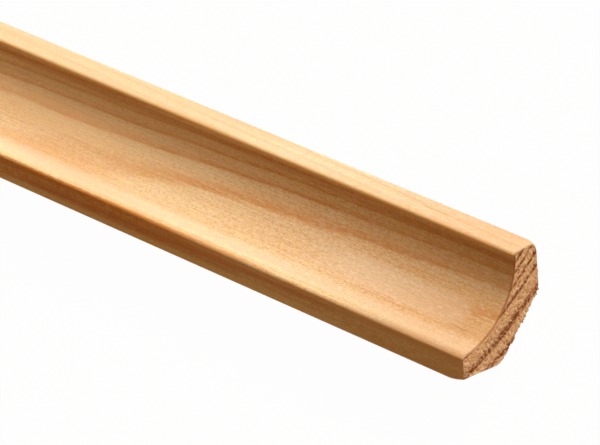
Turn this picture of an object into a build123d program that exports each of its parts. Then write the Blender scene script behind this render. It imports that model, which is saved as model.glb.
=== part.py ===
"""Scotia moulding: one length of pine with an equal-legged section and a quarter-round cove.

The section is drawn as it stands when fitted, with its back in the corner of a wall and a floor.
The finished length is then turned onto its bevelled back, which is how it lies on a level floor,
with the cove facing up. It runs along X, and the origin is at the middle of the bevel.
"""

from build123d import *
import math
import os

# Driving dimensions, in millimetres.
length = 2400.0  # one stock length, sawn square at both ends
side = 18.0  # height and width of the square that the section fits in
nose_width = 5.0  # thickness of each leg at its free end
seat_width = 8.5  # width of each flat back face, from the leg's outer corner to the heel
lip_radius = 0.6  # round where the cove runs out at the end of each leg
corner_radius = 0.4  # eased outer corner at the end of each leg
heel_radius = 3.0  # round where each flat back face turns into the bevel
end_radius = 0.3  # eased edge all round each sawn end

# What follows from them.
cove_radius = side - nose_width  # the cove is centred on the open corner of the square
bevel_leg = side - seat_width  # what the bevel takes off each back face
bevel_rise = bevel_leg / math.sqrt(2)  # from the lost back corner to the bevel, measured square to it
lying_angle = 45.0  # turns the bevel, which is as steep as it is deep, face down


def at_points(sketch, points):
    """The sketch's vertices that lie at the given points."""
    return [min(sketch.vertices(), key=Vertex(*point).distance_to) for point in points]


def section():
    """The fitted section: wall face on Y = 0, floor face on Z = 0, cove towards -Y."""
    top_corner = (0, side)
    top_lip = (-nose_width, side)
    front_lip = (-side, nose_width)
    front_corner = (-side, 0)
    floor_heel = (-bevel_leg, 0)
    wall_heel = (0, bevel_leg)
    outline = [
        Line(top_corner, top_lip),
        RadiusArc(top_lip, front_lip, cove_radius),
        Polyline(front_lip, front_corner, floor_heel, wall_heel, top_corner),
    ]
    shape = make_face(Curve() + outline)
    shape = fillet(at_points(shape, [top_lip, front_lip]), lip_radius)
    shape = fillet(at_points(shape, [top_corner, front_corner]), corner_radius)
    return fillet(at_points(shape, [floor_heel, wall_heel]), heel_radius)


def moulding():
    """The section run out to its full length, with both ends eased, lying on its bevel."""
    strip = extrude(Plane.YZ * section(), length / 2, both=True)
    ends = strip.faces().filter_by(Axis.X)
    strip = fillet(ends.edges(), end_radius)
    return Pos(0, 0, -bevel_rise) * Rot(X=-lying_angle) * strip


os.makedirs("parts", exist_ok=True)
export_step(moulding(), "parts/scotia_moulding.step")
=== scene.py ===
import bpy
import math
from typing import NamedTuple
from mathutils import Matrix, Vector, noise


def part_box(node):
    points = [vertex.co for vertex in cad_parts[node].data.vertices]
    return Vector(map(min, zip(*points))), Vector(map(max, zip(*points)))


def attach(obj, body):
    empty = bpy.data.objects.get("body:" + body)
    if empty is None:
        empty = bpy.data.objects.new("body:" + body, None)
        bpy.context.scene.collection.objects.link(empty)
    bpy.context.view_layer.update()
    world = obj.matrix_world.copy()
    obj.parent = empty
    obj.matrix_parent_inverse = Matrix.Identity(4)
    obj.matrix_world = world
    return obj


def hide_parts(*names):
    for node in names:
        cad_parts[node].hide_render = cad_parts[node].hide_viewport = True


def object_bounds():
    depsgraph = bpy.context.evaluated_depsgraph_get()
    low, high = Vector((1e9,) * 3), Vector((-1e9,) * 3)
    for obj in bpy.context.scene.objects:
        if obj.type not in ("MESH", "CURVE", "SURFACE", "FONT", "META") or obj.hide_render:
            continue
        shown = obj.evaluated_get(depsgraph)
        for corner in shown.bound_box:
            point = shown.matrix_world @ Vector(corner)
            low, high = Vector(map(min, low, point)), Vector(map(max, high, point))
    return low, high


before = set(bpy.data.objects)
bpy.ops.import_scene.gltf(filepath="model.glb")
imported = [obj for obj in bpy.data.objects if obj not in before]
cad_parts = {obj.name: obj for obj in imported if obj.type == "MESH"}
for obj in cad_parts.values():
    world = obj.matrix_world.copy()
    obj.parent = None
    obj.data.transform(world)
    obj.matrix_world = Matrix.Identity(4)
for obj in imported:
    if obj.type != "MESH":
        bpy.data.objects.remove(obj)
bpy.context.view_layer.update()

NODE = "scotia_moulding"
MM = 0.001

# The section, in millimetres, as it stands when fitted: V runs out from the wall and W up from the
# floor, so the wall face is V = 0 and the floor face is W = 0.
SIDE = 18.0
NOSE = 5.0
BEVEL_LEG = 9.5
LIP_RADIUS = 0.6
CORNER_RADIUS = 0.4
HEEL_RADIUS = 3.0
END_RADIUS = 0.3
COVE_RADIUS = SIDE - NOSE

# The frame lays the strip on its bevel, with its length along X.
LOWEST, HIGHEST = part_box(NODE)
HALF_LENGTH = (HIGHEST.x - LOWEST.x) / 2 / MM
BEVEL_RISE = BEVEL_LEG / math.sqrt(2)

# The mesh: cells from the top edge to the nose, cells from the cove to the back, and how far each row
# of points lies from the nearest end.
CELLS_AROUND = 270
CELLS_ACROSS = 30
ROW_POINTS = 2 * (CELLS_AROUND + CELLS_ACROSS)
FINE_STEPS = [0.0, 0.03, 0.09, 0.18, 0.3, 0.42, 0.56, 0.72, 0.9, 1.15, 1.45, 1.8, 2.2, 2.6, 3.0, 3.4]
COARSE_STEPS = [4.2, 6.0, 10.0, 20.0, 50.0, 110.0, 200.0, 320.0, 460.0, 620.0, 800.0, 1000.0]

# Each sawn end: how much of a full round its edge is eased, the size and height of its coarse and
# fine roughness, the size and depth of its pits and the noise level where a pit starts, how far the
# whole face is sunk, and how steeply all that fades in from the rim.
END_EASE = 0.55
ROUGH_SIZE, ROUGH_HEIGHT = 0.75, 0.1
FINE_SIZE, FINE_HEIGHT = 0.33, 0.07
PIT_SIZE, PIT_DEPTH, PIT_LEVEL = 0.5, 0.35, 0.1
SAWN_SINK = 0.05
RIM_FADE = 6.6
NEAR_SEED, FAR_SEED = 1.5, 31.5

# The near end's damage: the corner at the top of the wall face is worn, the corner of the nose is
# knocked off, and the saw tore fibres along the back, up the wall face and as far as the floor heel.
WEAR_DEPTH = 0.45
WEAR_REACH = 1.7
KNOCK_LENGTH = 3.6
KNOCK_HEIGHT = 0.85
KNOCK_REACH = 4.0
TORN_HEIGHT = 0.504
TORN_LENGTH = 0.4
TORN_SPACING, TORN_FINE_SPACING = 0.58, 0.261
TORN_BIAS = 0.15
TORN_SEED = Vector((7.3, 0, 0))
TORN_TOP = 13.5
TORN_HEEL = 9.025

# Growth rings: circles round the pith of the tree, in millimetres in the lying section. Each radius
# is where one ring's dark late wood ends. The rings drift in a slow wave along the length, sway a
# little, and are feathered along the fibres. Sway and feather are noise of a size and a reach.
PITH_Y, PITH_Z = 19.16, 69.25
RING_ENDS = [54.0, 55.4, 56.7, 58.0, 59.3, 60.6, 61.95, 63.3, 65.0, 66.95, 70.5, 73.0, 75.5, 78.1, 80.9]
DRIFT = 6.2
DRIFT_LENGTH = 1600.0
SWAY_SIZE, SWAY = (45, 7, 7), 0.9
FEATHER_SIZE, FEATHER = (14, 0.45, 0.45), 0.4

# How dark the wood is through one year's growth, and how dark the palest ring is beside the darkest.
YEAR = [(0.0, 0.0), (0.3, 0.05), (0.6, 0.3), (0.8, 0.85), (0.9, 1.0), (1.0, 0.0)]
PALEST_RING = 0.7

# Two dark hairlines: how far from the end the middle of each is, its length, and V where it shows.
# Each swings from side to side, and fades between two distances from its middle.
HAIRLINES = [(20.5, 8.0, 2.4), (5.5, 6.0, 12.8)]
HAIRLINE_SWING, HAIRLINE_SHIFT = 0.35, -0.17
HAIRLINE_FADE = (0.03, 0.11)

# Colours as displayed, 0 to 255.
EARLY_WOOD = (247, 214, 162)
LATE_WOOD = (220, 142, 72)
NOSE_RING = (188, 106, 36)
RESIN = (166, 88, 32)
ARRIS_BROWN = (140, 84, 44)
SAWN_PALE = (252, 218, 176)
SAWN_BROWN = (222, 168, 120)
SAWN_LATE = (148, 86, 50)
# The sawn pits' brown is partly the wood's own and partly painted shade in their hollows.
SAWN_PIT_AND_SHADE = (144, 84, 46)


class Mark(NamedTuple):
    """A pattern in the planed wood: its noise's size along and both ways across the strip, detail and
    roughness, the levels between which the mark appears, and its strength and colour."""

    size: tuple
    detail: float
    roughness: float
    appears: tuple
    strength: float
    shade: tuple


BAND = Mark((90, 1.6, 1.6), 2.0, 0.5, (0.42, 0.72), 0.35, (236, 180, 115))
STREAK = Mark((28, 0.28, 0.28), 4.0, 0.65, (0.38, 0.7), 0.36, (220, 158, 94))
PALE_STREAK = Mark((40, 0.4, 0.4), 3.0, 0.6, (0.52, 0.75), 0.35, (252, 224, 180))
SPECKLE = Mark((0.7, 0.35, 0.35), 2.0, 0.6, (0.4, 0.75), 0.26, (204, 124, 62))
PORES = Mark((0.5, 0.2, 0.2), 1.0, 0.5, (0.45, 0.75), 0.36, (196, 118, 60))
FUZZ = Mark((1.5, 0.18, 0.18), 1.0, 0.5, (0.5, 0.75), 0.3, (255, 234, 200))
NOSE_MOTTLE = Mark((7, 0.6, 0.6), 3.0, 0.65, (0.44, 0.62), 0.3, (180, 104, 44))


class Tone(NamedTuple):
    """A place where the planed wood is paler or browner than its grain makes it: its strength and
    colour, and its windows along the length from the end, out from the wall and up from the floor.
    A window is where it starts, is full, stops being full and ends. None is everywhere."""

    strength: float
    shade: tuple
    along: tuple = None
    out: tuple = None
    up: tuple = None


# The side of a window that has no bound.
FROM_START = (-2, -1)
TO_FINISH = (3000, 4000)

# Parts of the section, as windows up from the floor or out from the wall.
TOP_FACE = (17.7, 17.98) + TO_FINISH
RUN_OUT = (4.7, 4.9, 6.4, 7.6)
UPPER_LIP = (4.2, 4.8, 6, 7)
NOSE_FACE = (17.4, 17.9) + TO_FINISH

TONES = [
    # The top face, lit full on by the key light, is painted paler and a little pink near the end and
    # pinker farther along: painted tints of its highlight.
    Tone(0.26, (254, 222, 198), along=FROM_START + (50, 75), up=TOP_FACE),
    Tone(0.2, (252, 178, 160), along=(50, 75) + TO_FINISH, up=TOP_FACE),
    # The upper lip is painted pale, a painted highlight where the key light catches its round, and a
    # brown line of painted shade runs under it.
    Tone(0.7, (255, 208, 142), out=UPPER_LIP, up=(17.0, 17.5, 17.9, 18)),
    Tone(0.35, (196, 100, 24), out=UPPER_LIP, up=(15.4, 16.0, 16.6, 17.1)),
    # Away from the end, the shaded wall side of the cove is painted pale between its rings, painted light
    # that lifts its shade.
    Tone(0.32, (255, 208, 150), (74, 104) + TO_FINISH, (5.8, 7, 8.6, 10), (7, 8, 12, 13)),
    # The cove is painted pale where it runs out to the lower lip and faces the key light, a painted
    # highlight, and is pale in a patch above that by the end.
    Tone(0.35, (250, 232, 200), out=(13.4, 14.8, 16.2, 17.2), up=RUN_OUT),
    Tone(0.32, (255, 236, 206), (4, 8, 26, 48), (8.4, 9.4, 12.2, 13.6), (5, 6, 9, 10)),
    # The end is painted browner, as painted shade where the light falls off towards it, with a brown
    # streak in the cove.
    # Its lower lip is painted grey inside and brown at its edge, painted shade where it rounds away from
    # the light.
    Tone(0.3, (196, 146, 88), along=FROM_START + (0, 50)),
    Tone(0.4, (200, 136, 82), FROM_START + (4, 18), (10.5, 12, 13.4, 14.4), (4.7, 4.9, 7, 8)),
    Tone(0.38, (178, 162, 132), FROM_START + (16, 34), (16.4, 17.1) + TO_FINISH, (4.5, 4.7, 5.6, 6)),
    Tone(0.45, (186, 96, 30), FROM_START + (12, 22), (17.2, 17.7) + TO_FINISH, (3.2, 3.9, 5.2, 5.5)),
    # The nose lies in shade. It is painted browner above, as shade under the lower lip, paler at the end,
    # as painted light, and warm orange farther along, as the painted colour of its shade.
    Tone(0.4, (196, 126, 52), out=NOSE_FACE, up=(2.2, 4.2) + TO_FINISH),
    Tone(0.42, (255, 222, 165), along=FROM_START + (56, 80), out=NOSE_FACE),
    Tone(0.32, (244, 160, 44), along=(44, 70) + TO_FINISH, out=NOSE_FACE),
    # A dark ring climbs the nose towards the end.
    Tone(0.35, (196, 96, 20), (46, 58, 96, 108), NOSE_FACE, (0.9, 1.6, 2.4, 3.2)),
    Tone(0.36, (208, 100, 28), (22, 36, 62, 76), NOSE_FACE, (2.4, 3.0, 3.5, 4.0)),
    # Below that ring the nose is pale, and its lower edge is painted pale, a painted highlight of the
    # light thrown up from the floor.
    Tone(0.52, (255, 224, 172), (16, 34) + TO_FINISH, NOSE_FACE, FROM_START + (1.0, 2.0)),
    Tone(0.9, (255, 214, 160), out=NOSE_FACE, up=FROM_START + (0.1, 0.6)),
]

# The camera, in metres, shows the strip as it stands when fitted, so it is rolled against the lying
# frame.
CAMERA_PLACE = Vector((1.66622, -0.060364, 0.604238))
CAMERA_RIGHT = Vector((0.700028, 0.451964, -0.552891))
CAMERA_UP = Vector((-0.299565, 0.888672, 0.347164))
LENS_LENGTH = 288.6
SENSOR_WIDTH = 36.0

# The floor's reach, in metres, and the share of its colour that is plain white to the camera. The
# rest is paint, which takes the strip's shadow.
FLOOR_REACH = 30.0
FLOOR_WHITE = 0.98


def vertex(x, v, w):
    """A point of the fitted section as a point of the strip lying on its bevel, in metres."""
    y = (w - v) / math.sqrt(2)
    z = (w + v) / math.sqrt(2) - BEVEL_RISE
    return x * MM, y * MM, z * MM


def between(start, end, share):
    """The point at a share of the way from one point to another."""
    return tuple(a + (b - a) * share for a, b in zip(start, end))


class Run(NamedTuple):
    """One stretch of the outline: its length, and a function that gives the point and the outward
    normal at a share of it."""

    length: float
    at: object


def straight(start, end):
    dv, dw = end[0] - start[0], end[1] - start[1]
    length = math.hypot(dv, dw)
    normal = (dw / length, -dv / length)
    return Run(length, lambda share: (between(start, end, share), normal))


def round_about(centre, radius, first, last, hollow=False):
    """A round from one angle to another, in degrees. Its normal points to the centre if hollow."""
    sign = -1 if hollow else 1

    def at(share):
        angle = math.radians(first + (last - first) * share)
        c, s = math.cos(angle), math.sin(angle)
        return (centre[0] + radius * c, centre[1] + radius * s), (sign * c, sign * s)

    return Run(radius * math.radians(abs(last - first)), at)


def spread(runs):
    """Points and normals at even steps along the runs."""
    total = sum(run.length for run in runs)
    points = []
    for i in range(CELLS_AROUND + 1):
        left = total * i / CELLS_AROUND
        for run in runs:
            if left <= run.length or run is runs[-1]:
                points.append(run.at(min(left / run.length, 1.0)))
                break
            left -= run.length
    return points


def front_chain():
    """The front of the section, from the top edge over its lip, the cove and the lower lip."""
    lip_drop = math.sqrt((COVE_RADIUS + LIP_RADIUS) ** 2 - LIP_RADIUS**2)
    lip = SIDE - lip_drop
    lean = math.degrees(math.asin(LIP_RADIUS / (COVE_RADIUS + LIP_RADIUS)))
    return spread([
        round_about((lip, SIDE - LIP_RADIUS), LIP_RADIUS, 90, lean),
        round_about((SIDE, SIDE), COVE_RADIUS, 180 + lean, 270 - lean, hollow=True),
        round_about((SIDE - LIP_RADIUS, lip), LIP_RADIUS, 90 - lean, 0),
    ])


def back_chain():
    """The back of the section, from the top edge down the wall face, over the bevel and along the
    floor face to the nose."""
    heel = BEVEL_LEG + HEEL_RADIUS * math.tan(math.radians(45 / 2))
    bevel_near = HEEL_RADIUS * (1 - math.sqrt(0.5))
    bevel_far = heel - HEEL_RADIUS * math.sqrt(0.5)
    inner = SIDE - CORNER_RADIUS
    return spread([
        round_about((CORNER_RADIUS, inner), CORNER_RADIUS, 90, 180),
        straight((0, inner), (0, heel)),
        round_about((HEEL_RADIUS, heel), HEEL_RADIUS, 180, 225),
        straight((bevel_near, bevel_far), (bevel_far, bevel_near)),
        round_about((heel, HEEL_RADIUS), HEEL_RADIUS, 225, 270),
        straight((heel, 0), (inner, 0)),
        round_about((inner, CORNER_RADIUS), CORNER_RADIUS, 270, 360),
    ])


def leg_end(start, end, normal):
    """The points inside the flat end of one leg, with its normal."""
    return [(between(start, end, k / CELLS_ACROSS), normal) for k in range(1, CELLS_ACROSS)]


def smooth(value):
    value = min(max(value, 0.0), 1.0)
    return value * value * (3 - 2 * value)


def falloff(distance, reach, power=1):
    """1 at no distance, falling to 0 at the reach."""
    return max(0.0, 1 - distance / reach) ** power


def damaged(v, w, depth):
    """A point by the near end, pushed in where the top corner is worn and lifted where the corner of
    the nose is knocked off. The depth is measured from the end."""
    worn = WEAR_DEPTH * falloff(math.hypot(v, w - SIDE), WEAR_REACH, 1.5) * falloff(depth, WEAR_REACH, 2)
    towards_nose = smooth((v - BEVEL_LEG) / (SIDE - BEVEL_LEG))
    knocked = KNOCK_HEIGHT * falloff(depth, KNOCK_LENGTH, 1.6) * towards_nose * falloff(w, KNOCK_REACH)
    return v + worn, w - worn + knocked


def torn(v, w):
    """How far torn fibre stands out of the back at the very end."""
    if v + w >= TORN_TOP or v - w >= TORN_HEEL:
        return 0.0
    place = Vector((v, w, 0.0))
    ragged = noise.noise(place / TORN_SPACING + TORN_SEED) + 0.5 * noise.noise(place / TORN_FINE_SPACING)
    return TORN_HEIGHT * max(0.0, ragged + TORN_BIAS)


def surface(point, normal, depth, near):
    """A point of the outline at a depth from its end, with the eased edge and the end's damage."""
    v, w = point
    out = 0.0
    if depth < END_RADIUS:
        out = -END_EASE * (END_RADIUS - math.sqrt(END_RADIUS**2 - (END_RADIUS - depth) ** 2))
    if near:
        v, w = damaged(v, w, depth)
        out += torn(v, w) * math.exp(-((depth / TORN_LENGTH) ** 2))
    return v + normal[0] * out, w + normal[1] * out


def bumps(v, w, size, seed):
    """Noise from -1 to 1 over a sawn end, with features of one size."""
    return noise.noise(Vector((v / size, w / size, seed)))


def sawn(v, w, seed):
    """How far the sawn end stands out of its plane, in millimetres."""
    rough = ROUGH_HEIGHT * bumps(v, w, ROUGH_SIZE, seed)
    fine = FINE_HEIGHT * bumps(v, w, FINE_SIZE, seed + 5)
    pit = PIT_DEPTH * max(0.0, bumps(v, w, PIT_SIZE, seed + 9) - PIT_LEVEL)
    return rough + fine - pit - SAWN_SINK


def sawn_end(verts, front, back, rim, near):
    """The faces of one sawn end: a grid of squares from the cove to the back. Its rim is the row of
    the strip's points that starts at the given index, and its inner points are added to the list."""
    grid = {}
    for i in range(CELLS_AROUND + 1):
        grid[i, 0] = rim + i
        grid[i, CELLS_ACROSS] = rim + 2 * CELLS_AROUND + CELLS_ACROSS - i
    for k in range(1, CELLS_ACROSS):
        grid[CELLS_AROUND, k] = rim + CELLS_AROUND + k
        grid[0, k] = rim + ROW_POINTS - k

    seed, outward = (NEAR_SEED, 1) if near else (FAR_SEED, -1)
    for i in range(1, CELLS_AROUND):
        for k in range(1, CELLS_ACROSS):
            share = k / CELLS_ACROSS
            v, w = between(front[i][0], back[i][0], share)
            lift = sawn(v, w, seed) * smooth(RIM_FADE * min(share, 1 - share))
            if near:
                v, w = damaged(v, w, 0.0)
            grid[i, k] = len(verts)
            verts.append(vertex(outward * (HALF_LENGTH + lift), v, w))

    faces = []
    for i in range(CELLS_AROUND):
        for k in range(CELLS_ACROSS):
            square = (grid[i, k], grid[i + 1, k], grid[i + 1, k + 1], grid[i, k + 1])
            faces.append(square if near else square[::-1])
    return faces


def strip():
    """The whole strip as one mesh: long faces in the first material, sawn ends in the second."""
    front, back = front_chain(), back_chain()
    nose = leg_end(front[-1][0], back[-1][0], (1, 0))
    top = leg_end(back[0][0], front[0][0], (0, 1))
    outline = front + nose + back[::-1] + top
    steps = FINE_STEPS + COARSE_STEPS
    rows = [(HALF_LENGTH - depth, depth, True) for depth in steps]
    rows += [(0.0, HALF_LENGTH, False)]
    rows += [(depth - HALF_LENGTH, depth, False) for depth in reversed(steps)]

    verts, long_faces = [], []
    for x, depth, near in rows:
        for point, normal in outline:
            verts.append(vertex(x, *surface(point, normal, depth, near)))
    for row in range(len(rows) - 1):
        this, next_row = row * ROW_POINTS, (row + 1) * ROW_POINTS
        for i in range(ROW_POINTS):
            j = (i + 1) % ROW_POINTS
            long_faces.append((this + i, next_row + i, next_row + j, this + j))
    last_row = (len(rows) - 1) * ROW_POINTS
    ends = sawn_end(verts, front, back, 0, near=True) + sawn_end(verts, front, back, last_row, near=False)

    mesh = bpy.data.meshes.new("pine_strip")
    mesh.from_pydata(verts, [], long_faces + ends)
    kinds = [0] * len(long_faces) + [1] * len(ends)
    mesh.polygons.foreach_set("material_index", kinds)
    mesh.polygons.foreach_set("use_smooth", [True] * len(kinds))
    mesh.validate()
    mesh.update()
    return mesh


class Nodes:
    """A short way to write the nodes of a material or a world."""

    def __init__(self, owner):
        owner.use_nodes = True
        self.owner = owner
        self.tree = owner.node_tree
        self.tree.nodes.clear()

    def add(self, kind, inputs=None, **settings):
        node = self.tree.nodes.new("ShaderNode" + kind)
        for key, value in settings.items():
            setattr(node, key, value)
        for key, value in (inputs or {}).items():
            self.put(node.inputs[key], value)
        return node

    def put(self, socket, value):
        if isinstance(value, bpy.types.NodeSocket):
            self.tree.links.new(value, socket)
        else:
            socket.default_value = value

    def math(self, operation, *values):
        node = self.add("Math", operation=operation)
        for socket, value in zip(node.inputs, values):
            self.put(socket, value)
        return node.outputs[0]

    def chain(self, operation, first, *others):
        """The values joined by one operation after another."""
        for value in others:
            first = self.math(operation, first, value)
        return first

    def times(self, *values):
        return self.chain("MULTIPLY", *values)

    def total(self, *values):
        return self.chain("ADD", *values)

    def minus(self, value, taken):
        return self.math("SUBTRACT", value, taken)

    def scaled(self, vector, sizes):
        """A vector measured in the given lengths, such as a fibre's length, breadth and depth."""
        shrink = [1 / size for size in sizes]
        return self.add("VectorMath", {0: vector, 1: shrink}, operation="MULTIPLY").outputs[0]

    def noise(self, vector, sizes, detail=2.0, roughness=0.5):
        """Noise from 0 to 1 with features of the given sizes."""
        place = self.scaled(vector, sizes)
        settings = {"Vector": place, "Scale": 1.0, "Detail": detail, "Roughness": roughness}
        return self.add("TexNoise", settings).outputs["Fac"]

    def rise(self, value, low, high, start=0.0, end=1.0):
        """A soft step from start to end as the value goes from low to high."""
        node = self.add("MapRange", interpolation_type="SMOOTHSTEP")
        for socket, number in zip(node.inputs, (value, low, high, start, end)):
            self.put(socket, number)
        return node.outputs[0]

    def window(self, value, opens, opened, shuts, shut):
        """1 between two bounds and 0 outside them, with a soft step at each."""
        return self.times(self.rise(value, opens, opened), self.rise(value, shuts, shut, 1.0, 0.0))

    def ramp(self, value, stops):
        """The level at a value, on a line through the stops, each a place and a level."""
        node = self.add("ValToRGB", {0: value})
        elements = node.color_ramp.elements
        while len(elements) < len(stops):
            elements.new(0.5)
        for element, (place, level) in zip(elements, stops):
            element.position = place
            element.color = (level, level, level, 1)
        return node.outputs[0]

    def mix(self, share, first, second):
        """Two colours mixed. A colour mix has its colours on sockets 6 and 7 and gives out on 2."""
        return self.add("Mix", {0: share, 6: first, 7: second}, data_type="RGBA").outputs[2]

    def tint(self, base, share, shade):
        """The base with a share of a display colour mixed in."""
        return self.mix(share, base, colour(*shade))

    def seen(self):
        """1 for what the camera sees, straight or in a mirror or glass, and 0 for light on the strip."""
        path = self.add("LightPath").outputs
        seen = self.math("MAXIMUM", path["Is Camera Ray"], path["Is Glossy Ray"])
        return self.math("MAXIMUM", seen, path["Is Transmission Ray"])

    def finish(self, kind, surface):
        """The material or world, showing the surface."""
        self.add("Output" + kind, {"Surface": surface.outputs[0]})
        return self.owner


def colour(red, green, blue):
    """A display colour, 0 to 255, as the linear colour that a shader takes."""
    def linear(level):
        level /= 255
        return level / 12.92 if level <= 0.04045 else ((level + 0.055) / 1.055) ** 2.4
    return (linear(red), linear(green), linear(blue), 1)


def ring_number(nodes, radius):
    """The number of the ring at a radius, whose fraction tells how far through the year it grew."""
    first, last = RING_ENDS[0], RING_ENDS[-1]
    rings = len(RING_ENDS) - 1
    share = nodes.math("DIVIDE", nodes.minus(radius, first), last - first)
    curve = nodes.add("FloatCurve", {"Value": share})
    points = curve.mapping.curves[0].points
    for i in range(1, rings):
        points.new((RING_ENDS[i] - first) / (last - first), i / rings)
    for point in points:
        point.handle_type = "VECTOR"
    curve.mapping.update()
    return nodes.times(curve.outputs[0], float(rings))


def grain(nodes):
    """Place in millimetres, then X, V and W there, then how dark the rings make the wood, 0 to 1."""
    place = nodes.scaled(nodes.add("TexCoord").outputs["Object"], (MM, MM, MM))
    x, y, z = nodes.add("SeparateXYZ", {0: place}).outputs
    across = nodes.math("POWER", nodes.minus(PITH_Y, y), 2.0)
    below = nodes.math("POWER", nodes.minus(PITH_Z, z), 2.0)
    from_pith = nodes.math("SQRT", nodes.total(across, below))
    turn = nodes.times(nodes.minus(x, HALF_LENGTH), 2 * math.pi / DRIFT_LENGTH)
    drift = nodes.times(nodes.math("SINE", turn), DRIFT)
    sway = nodes.times(nodes.minus(nodes.noise(place, SWAY_SIZE, 1.0), 0.5), SWAY)
    feather = nodes.times(nodes.minus(nodes.noise(place, FEATHER_SIZE, 3.0), 0.5), FEATHER)
    number = ring_number(nodes, nodes.total(from_pith, drift, sway, feather))
    late = nodes.ramp(nodes.math("FRACT", number), YEAR)
    ring = nodes.add("TexWhiteNoise", {"W": nodes.math("FLOOR", number)}, noise_dimensions="1D")
    darkness = nodes.math("MULTIPLY_ADD", ring.outputs["Value"], 1 - PALEST_RING, PALEST_RING)

    raised = nodes.total(z, BEVEL_RISE)
    out = nodes.times(nodes.minus(raised, y), math.sqrt(0.5))
    up = nodes.times(nodes.total(raised, y), math.sqrt(0.5))
    return place, (x, out, up), nodes.times(late, darkness)


def bare_wood(nodes, base, rough, height, relief):
    """Bare planed or sawn pine: a dull surface with a little relief, in millimetres."""
    bump = nodes.add("Bump", {"Height": height, "Strength": 1.0, "Distance": relief * MM})
    shader = nodes.add("BsdfPrincipled", {"Base Color": base, "Roughness": rough})
    nodes.put(shader.inputs["Normal"], bump.outputs[0])
    shader.inputs["Specular IOR Level"].default_value = 0.12
    shader.inputs["Subsurface Weight"].default_value = 0.3
    shader.inputs["Subsurface Radius"].default_value = (1.0, 0.35, 0.1)
    shader.inputs["Subsurface Scale"].default_value = 1.5 * MM
    return nodes.finish("Material", shader)


def ring_contrast(nodes, depth, out, up, top):
    """How strongly the rings show. They fade low in the cove, which runs along them, most of all 60
    to 80 mm from the end. They are faint on the top face and weaken a little along the strip."""
    low = nodes.rise(up, NOSE + 0.5, NOSE + 3.4, 1.0, 0.0)
    inside = nodes.rise(out, SIDE - 1, SIDE - 0.3, 1.0, 0.0)
    fade = nodes.minus(nodes.rise(depth, 10, 60, 0.45, 0.6), nodes.rise(depth, 80, 110, 0.0, 0.4))
    along = nodes.minus(nodes.rise(depth, 50, 90, 1.0, 0.8), nodes.times(low, inside, fade))
    return nodes.minus(along, nodes.times(top, nodes.rise(depth, 20, 70, 0.3, 0.5)))


def marked(nodes, base, place, mark, weight=1.0):
    """The base with a mark on it, and the mark's noise."""
    level = nodes.noise(place, mark.size, mark.detail, mark.roughness)
    share = nodes.times(nodes.rise(level, *mark.appears, 0.0, mark.strength), weight)
    return nodes.tint(base, share, mark.shade), level


def toned(nodes, base, depth, out, up):
    """The base with every tone on it."""
    for tone in TONES:
        share = tone.strength
        for value, window in ((depth, tone.along), (out, tone.out), (up, tone.up)):
            if window:
                share = nodes.times(share, nodes.window(value, *window))
        base = nodes.tint(base, share, tone.shade)
    return base


def hairlines(nodes, place, depth, out, up):
    """Where short dark lines show, at resin ducts: a few anywhere, and the two near the end."""
    duct = nodes.rise(nodes.noise(place, (7, 0.13, 0.13), 1.0), 0.72, 0.78)
    patch = nodes.rise(nodes.noise(place, (30, 5, 5), 1.0), 0.48, 0.6)
    dark = nodes.times(duct, patch)
    bend = nodes.noise(place, (3, 50, 50), 2.0)
    for from_end, length, from_wall in HAIRLINES:
        middle = nodes.math("MULTIPLY_ADD", bend, HAIRLINE_SWING, from_wall + HAIRLINE_SHIFT)
        off = nodes.math("ABSOLUTE", nodes.minus(out, middle))
        along = nodes.math("ABSOLUTE", nodes.minus(depth, from_end))
        thin = nodes.rise(off, *HAIRLINE_FADE, 1.0, 0.0)
        short = nodes.rise(along, length * 0.2, length * 0.5, 1.0, 0.0)
        above_nose = nodes.rise(up, NOSE - 1, NOSE - 0.5)
        dark = nodes.math("MAXIMUM", dark, nodes.times(thin, short, above_nose))
    return dark


def arris(nodes, place, depth, out):
    """How dark the edge of each end is, in a ragged line. The edge of the nose is left plain."""
    ragged = nodes.times(nodes.noise(place, (0.5, 0.5, 0.5), 2.0), 0.3)
    edge = nodes.rise(nodes.minus(depth, ragged), 0.02, 0.28, 1.0, 0.0)
    return nodes.times(edge, nodes.rise(out, SIDE - 1.2, SIDE - 0.5, 0.65, 0.0))


def planed_pine():
    nodes = Nodes(bpy.data.materials.new("planed_pine"))
    place, (x, out, up), late = grain(nodes)
    depth = nodes.minus(HALF_LENGTH, nodes.math("ABSOLUTE", x))
    top = nodes.rise(up, SIDE - 0.4, SIDE - 0.1)
    nose = nodes.rise(out, SIDE - 0.6, SIDE - 0.1)
    shown = nodes.times(late, ring_contrast(nodes, depth, out, up, top))
    base = nodes.mix(shown, colour(*EARLY_WOOD), colour(*LATE_WOOD))

    # Fine marks are strongest by the end and on the nose, and weaker on the top face.
    fine = nodes.math("MULTIPLY_ADD", nose, 2.2, nodes.rise(depth, 15, 85, 1.65, 0.85))
    fine = nodes.math("MULTIPLY_ADD", top, -0.25, fine)
    base, _ = marked(nodes, base, place, BAND)
    base, streak = marked(nodes, base, place, STREAK, fine)
    base, _ = marked(nodes, base, place, PALE_STREAK)
    base, speckle = marked(nodes, base, place, SPECKLE, fine)
    base, _ = marked(nodes, base, place, PORES, fine)
    base, _ = marked(nodes, base, place, FUZZ, fine)
    base = nodes.tint(base, nodes.times(nose, late, 0.6), NOSE_RING)
    base, _ = marked(nodes, base, place, NOSE_MOTTLE, nose)
    base = toned(nodes, base, depth, out, up)
    base = nodes.tint(base, nodes.times(hairlines(nodes, place, depth, out, up), 0.6), RESIN)
    base = nodes.tint(base, arris(nodes, place, depth, out), ARRIS_BROWN)

    rough = nodes.math("MULTIPLY_ADD", late, -0.08, 0.62)
    height = nodes.total(nodes.times(streak, 0.7), nodes.times(speckle, 0.5))
    return bare_wood(nodes, base, rough, height, relief=0.03)


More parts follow.
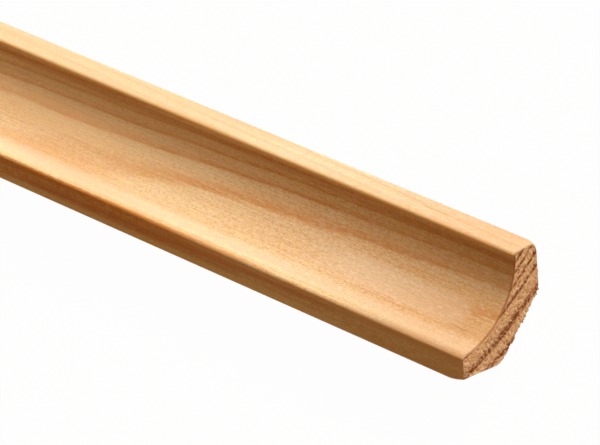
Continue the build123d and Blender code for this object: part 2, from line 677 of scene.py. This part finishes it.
def sawn_pine():
    nodes = Nodes(bpy.data.materials.new("sawn_pine"))
    place, _, late = grain(nodes)
    blotch = nodes.noise(place, (0.8, 0.62, 0.62), 2.0, 0.6)
    fine = nodes.noise(place, (0.42, 0.4, 0.4), 2.0, 0.7)
    base = nodes.mix(nodes.rise(fine, 0.35, 0.65), colour(*SAWN_PALE), colour(*SAWN_BROWN))
    dark = nodes.times(nodes.rise(late, 0.08, 0.6), nodes.rise(blotch, 0.38, 0.54, 0.3, 1.0))
    base = nodes.tint(base, dark, SAWN_LATE)
    pit = nodes.rise(nodes.noise(place, (0.6, 0.5, 0.5), 1.0), 0.56, 0.68)
    # The pits are painted darker, partly their own brown and partly painted shade in the hollows that the
    # bump sinks.
    base = nodes.tint(base, nodes.times(pit, 0.45), SAWN_PIT_AND_SHADE)
    height = nodes.minus(nodes.total(blotch, fine), nodes.times(pit, 0.8))
    return bare_wood(nodes, base, 0.85, height, relief=0.08)


def white_ground():
    """A floor that shows as plain white, and keeps a faint shadow of the strip."""
    nodes = Nodes(bpy.data.materials.new("white_ground"))
    paint = nodes.add("BsdfDiffuse", {"Color": (0.62, 0.48, 0.34, 1)})
    white = nodes.add("Emission", {"Color": (1, 1, 1, 1), "Strength": 1.0})
    share = nodes.times(nodes.seen(), FLOOR_WHITE)
    mixed = nodes.add("MixShader", {0: share, 1: paint.outputs[0], 2: white.outputs[0]})
    return nodes.finish("Material", mixed)


def make_strip():
    piece = bpy.data.objects.new("pine_strip", strip())
    bpy.context.collection.objects.link(piece)
    piece.data.materials.append(planed_pine())
    piece.data.materials.append(sawn_pine())
    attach(piece, "root")
    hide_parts(NODE)


def make_floor():
    """A wide floor that touches the lowest point of the strip."""
    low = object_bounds()[0].z
    signs = ((-1, -1), (1, -1), (1, 1), (-1, 1))
    corners = [(FLOOR_REACH * a, FLOOR_REACH * b, low) for a, b in signs]
    mesh = bpy.data.meshes.new("floor")
    mesh.from_pydata(corners, [], [(0, 1, 2, 3)])
    floor = bpy.data.objects.new("floor", mesh)
    bpy.context.collection.objects.link(floor)
    mesh.materials.append(white_ground())


def lamp(name, direction, strength, tint, width):
    """A soft, even light from far off. The direction points from the strip to the lamp, and the width
    is an angle in degrees."""
    data = bpy.data.lights.new(name, "SUN")
    data.energy = strength
    data.color = tint
    data.angle = math.radians(width)
    light = bpy.data.objects.new(name, data)
    light.rotation_mode = "QUATERNION"
    light.rotation_quaternion = Vector(direction).to_track_quat("Z", "Y")
    bpy.context.collection.objects.link(light)


def make_light():
    lamp("key", (0.05, 0.84, 0.55), strength=3.08, tint=(0.95, 1.0, 1.06), width=20)
    lamp("end_fill", (1.0, 0.55, 0.25), strength=1.1, tint=(1.0, 0.95, 0.87), width=30)


def make_world():
    """A warm, dim sky that lights the strip, and shows as plain white."""
    world = bpy.context.scene.world or bpy.data.worlds.new("studio")
    bpy.context.scene.world = world
    nodes = Nodes(world)
    fill = nodes.add("Background", {"Color": (1.0, 0.61, 0.22, 1), "Strength": 0.23})
    white = nodes.add("Background", {"Color": (1, 1, 1, 1), "Strength": 1.0})
    mixed = nodes.add("MixShader", {0: nodes.seen(), 1: fill.outputs[0], 2: white.outputs[0]})
    nodes.finish("World", mixed)


def make_camera():
    turn = Matrix((CAMERA_RIGHT, CAMERA_UP, CAMERA_RIGHT.cross(CAMERA_UP))).transposed()
    data = bpy.data.cameras.new("camera")
    data.sensor_width = SENSOR_WIDTH
    data.lens = LENS_LENGTH
    data.clip_start, data.clip_end = 0.05, 100.0
    camera = bpy.data.objects.new("camera", data)
    camera.matrix_world = Matrix.Translation(CAMERA_PLACE) @ turn.to_4x4()
    bpy.context.collection.objects.link(camera)
    bpy.context.scene.camera = camera


bpy.context.scene.view_settings.view_transform = "Standard"
make_strip()
make_floor()
make_light()
make_world()
make_camera()

bpy.context.view_layer.update()
